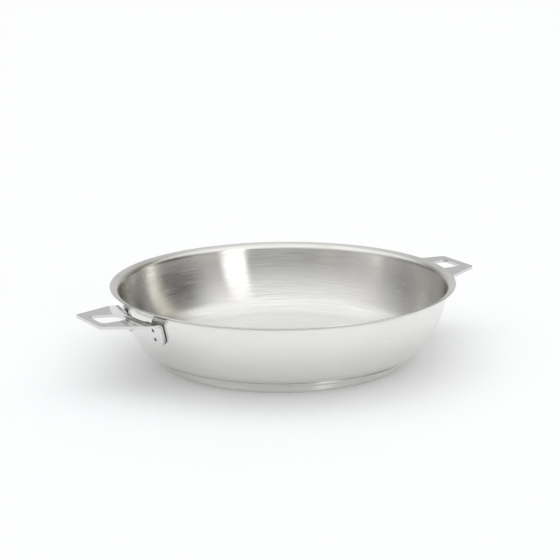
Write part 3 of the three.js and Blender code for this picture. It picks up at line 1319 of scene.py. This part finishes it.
@dataclass
class SpotWelds:
    """The eight spot welds that hold the lugs."""

    lug: Lug
    radius: float = 1.25 * MM
    length: float = 2 * MM
    crater: float = 0.3 * MM
    crater_margin: float = 0.45 * MM
    edge_bevel: float = 0.2 * MM
    bevel_angle: float = math.radians(30)
    crease_angle: float = math.radians(50)
    # Fineness
    bevel_steps: int = 3
    round_steps: int = 24
    # Worked out from the lug
    welds: list[Weld] = field(init=False, default_factory=list)

    def __post_init__(self) -> None:
        """Lists the welds by the names of their solids."""
        for hand in Hand:
            for side in (1, -1):
                place = "rear" if (side > 0) == (hand is Hand.RIGHT) else "front"
                for level in ("upper", "lower"):
                    node = f"{hand.name.lower()}_{place}_{level}_weld"
                    self.welds.append(Weld(self.lug, node, side, hand))

    def of(self, hand: Hand) -> list[Weld]:
        """Gives the welds of one lug."""
        return [weld for weld in self.welds if weld.hand is hand]

    def nugget(self) -> Piece:
        """Models one weld about the origin: a short bar with a sunk, rounded face.

        Returns:
            The weld that the others are copied from.
        """
        Bench.clear_selection()
        bpy.ops.mesh.primitive_cylinder_add(
            vertices=self.round_steps, radius=self.radius, depth=self.length
        )
        piece = bpy.context.object
        Bench.select_none_of("FACE")
        for face in piece.data.polygons:
            face.select = face.normal.z > FACING_UP
        bpy.ops.object.mode_set(mode="EDIT")
        bpy.ops.mesh.inset(thickness=self.crater_margin)
        bpy.ops.transform.translate(value=(0.0, 0.0, -self.crater))
        bpy.ops.object.mode_set(mode="OBJECT")
        Bench.bevel(piece, self.edge_bevel, self.bevel_steps, angle_limit=self.bevel_angle)
        Bench.soften(piece, self.crease_angle)
        piece.data.materials.append(WELD_STEEL.material())
        return piece

    def build(self) -> list[Piece]:
        """Sets a copy of the weld in each bore.

        Returns:
            The eight welds.
        """
        first = self.nugget()
        pieces = []
        for weld in self.welds:
            piece = Bench.copy_of(first, weld.node.replace("_weld", "_nugget"), weld.place)
            Bench.hand_over(piece, "weld_steel", weld.node)
            pieces.append(piece)
        bpy.data.objects.remove(first)
        return pieces


@dataclass(frozen=True)
class Panel:
    """A stretch of the room round the pan, which fades into the next one.

    Attributes:
        start: Angle where it starts, in degrees from the camera's side to the camera's right.
        end: Angle where it ends.
        colour: Its colour and level.
        height: Sine of the elevation where the overhead starts to show above it.
    """

    start: float
    end: float
    colour: tuple[float, float, float]
    height: float

    def stops(self) -> list[tuple[float, Colour]]:
        """Gives both ends of the panel on the ramp round the room, with its colour and height."""
        look = (*self.colour, self.height)
        return [(angle / FULL_TURN + CAMERA_SHARE, look) for angle in (self.start, self.end)]


BACK_WALL = (0.58, 0.58, 0.57)
DARK_CURTAIN = (0.12, 0.117, 0.112)
LEFT_SCREEN = (0.42, 0.413, 0.403)
CAMERA_SIDE = (0.22, 0.218, 0.21)
SOFTBOX = (1.6, 1.585, 1.55)
RIGHT_WALL = (0.3, 0.295, 0.283)
BLACK_FLAG = (0.03, 0.029, 0.027)
WARM_DOOR = (0.64, 0.607, 0.513)
SHADED_CORNER = (0.16, 0.153, 0.136)

ROOM = (
    Panel(-179, -170, BACK_WALL, 0.8),
    Panel(-130, -100, DARK_CURTAIN, 0.15),
    Panel(-72, -56, LEFT_SCREEN, 0.2),
    Panel(-22, 26, CAMERA_SIDE, 0.15),
    Panel(29, 43, SOFTBOX, 0.15),
    Panel(48, 57, RIGHT_WALL, 0.2),
    Panel(84, 99, BLACK_FLAG, 0.42),
    Panel(111, 117, WARM_DOOR, 0.45),
    Panel(124, 132, SHADED_CORNER, 0.55),
    Panel(170, 179, BACK_WALL, 0.8),
)


@dataclass
class Studio:
    """A pale floor, one soft light from above, a room of plain panels and the camera."""

    # Camera
    image_pixels: float = 560
    focal_pixels: float = 2032.7
    sensor_width: float = 36.0
    azimuth: float = math.radians(-31.09)
    elevation: float = math.radians(14.4)
    distance: float = 1.707
    rim_height: float = 65.18 * MM
    aim_left: float = 2.3 * MM
    aim_up: float = 1.6 * MM
    roll: float = math.radians(-0.539)
    # Floor
    floor_width: float = 24.0
    floor_level: float = -0.05 * MM
    floor_colour: Colour = (0.9, 0.909, 0.922, 1.0)
    floor_roughness: float = 0.9
    floor_specular: float = 0.1
    floor_glow: Colour = (1.0, 1.0, 1.0, 1.0)
    floor_lift: float = 0.11
    # Light
    overhead_energy: float = 0.75
    overhead_angle: float = math.radians(100)
    overhead_side: float = math.radians(150)
    overhead_height: float = math.radians(65)
    overhead_end: float = 0.85
    overhead_colour: Colour = (1.0, 1.0, 1.0, 1.0)

    def build(self) -> None:
        """Sets up the camera, the floor, the lamp and the room."""
        self.camera()
        self.floor()
        self.overhead_light()
        self.surroundings()
        bpy.context.scene.view_settings.view_transform = "Standard"

    def towards(self, azimuth: float, elevation: float) -> Vector:
        """Gives the direction from the pan to a place round it.

        Args:
            azimuth: Angle from the camera's side, to the camera's right.
            elevation: Angle above the floor.

        Returns:
            The unit vector.
        """
        turned = self.azimuth + azimuth
        level = math.cos(elevation)
        return Vector((level * math.sin(turned), -level * math.cos(turned), math.sin(elevation)))

    def camera(self) -> None:
        """Puts the camera where the photograph was taken from."""
        data = bpy.data.cameras.new("camera")
        data.sensor_width = self.sensor_width
        data.lens = self.focal_pixels / self.image_pixels * self.sensor_width
        camera = bpy.data.objects.new("camera", data)
        bpy.context.scene.collection.objects.link(camera)
        rim = Vector((0.0, 0.0, self.rim_height))
        away = self.towards(0.0, self.elevation)
        right = Vector((0.0, 0.0, 1.0)).cross(away).normalized()
        up = away.cross(right)
        place = rim + away * self.distance
        aim = rim - right * self.aim_left + up * self.aim_up
        facing = (aim - place).to_track_quat("-Z", "Y").to_matrix().to_4x4()
        camera.matrix_world = Matrix.Translation(place) @ facing @ Matrix.Rotation(self.roll, 4, "Z")
        bpy.context.scene.camera = camera

    def floor(self) -> None:
        """Lays the pale floor, which glows a little where the camera or the steel sees it."""
        Bench.clear_selection()
        bpy.ops.mesh.primitive_plane_add(size=self.floor_width, location=(0.0, 0.0, self.floor_level))
        floor = bpy.context.object
        floor.name = "floor"
        material = bpy.data.materials.new("pale_floor")
        material.use_nodes = True
        wiring = Wiring(material.node_tree)
        rays = wiring.add("ShaderNodeLightPath").outputs
        seen = wiring.math("MAXIMUM", rays["Is Camera Ray"], rays["Is Glossy Ray"])
        wiring.feed(
            material.node_tree.nodes["Principled BSDF"],
            Base_Color=self.floor_colour,
            Roughness=self.floor_roughness,
            Specular_IOR_Level=self.floor_specular,
            Emission_Color=self.floor_glow,
            Emission_Strength=wiring.math("MULTIPLY", seen, self.floor_lift),
        )
        floor.data.materials.append(material)

    def overhead_light(self) -> None:
        """Hangs one wide soft light above, which lights the floor and isn't mirrored in the metal."""
        data = bpy.data.lights.new("overhead", "SUN")
        data.energy = self.overhead_energy
        data.angle = self.overhead_angle
        lamp = bpy.data.objects.new("overhead", data)
        facing = self.towards(self.overhead_side, self.overhead_height).to_track_quat("Z", "Y")
        lamp.matrix_world = facing.to_matrix().to_4x4()
        lamp.visible_glossy = False
        bpy.context.scene.collection.objects.link(lamp)

    def surroundings(self) -> None:
        """Stands the room's panels round the pan, below an overhead that fades in towards the zenith."""
        world = bpy.data.worlds.new("studio")
        bpy.context.scene.world = world
        world.use_nodes = True
        wiring = Wiring(world.node_tree)
        direction = wiring.add("ShaderNodeTexCoord").outputs["Generated"]
        turned = wiring.add("ShaderNodeMapping", vector_type="VECTOR")
        wiring.feed(turned, Vector=direction, Rotation=(0.0, 0.0, -self.azimuth))
        parts = wiring.split(turned.outputs["Vector"])
        back = wiring.math("MULTIPLY", parts["Y"], -1.0)
        angle = wiring.math("ARCTAN2", parts["X"], back)
        share = wiring.math("ADD", wiring.math("DIVIDE", angle, math.tau), CAMERA_SHARE)
        ramp = wiring.feed(wiring.add("ShaderNodeValToRGB"), Fac=share)
        self.stand_panels(ramp.color_ramp.elements)
        overhead = wiring.spread(parts["Z"], (ramp.outputs["Alpha"], self.overhead_end), smooth=True)
        light = wiring.blend(overhead, ramp.outputs["Color"], self.overhead_colour)
        wiring.feed(world.node_tree.nodes["Background"], Color=light, Strength=1.0)

    def stand_panels(self, stops: bpy.types.ColorRampElements) -> None:
        """Puts the room's panels on the ramp round the pan.

        Args:
            stops: The ramp's stops.
        """
        while len(stops) > 1:
            stops.remove(stops[-1])
        stops[0].position = 0.0
        stops[0].color = (*ROOM[0].colour, ROOM[0].height)
        for panel in ROOM:
            for place, look in panel.stops():
                stops.new(place).color = look


def main() -> None:
    """Builds the pan piece by piece and reports each piece, then sets up the studio."""
    logging.basicConfig(level=logging.INFO, format="%(name)s: %(message)s")
    bowl = Bowl()
    base = Base(bowl)
    lug = Lug(bowl)
    welds = SpotWelds(lug)
    pieces = [bowl.build(), *base.build(), *lug.build(welds.of(Hand.RIGHT)), *welds.build()]
    for piece in pieces:
        finishes = [material.name for material in piece.data.materials]
        LOG.info("%s: %d faces in %s", piece.name, len(piece.data.polygons), ", ".join(finishes))
    Studio().build()


if __name__ == "__main__":
    main()
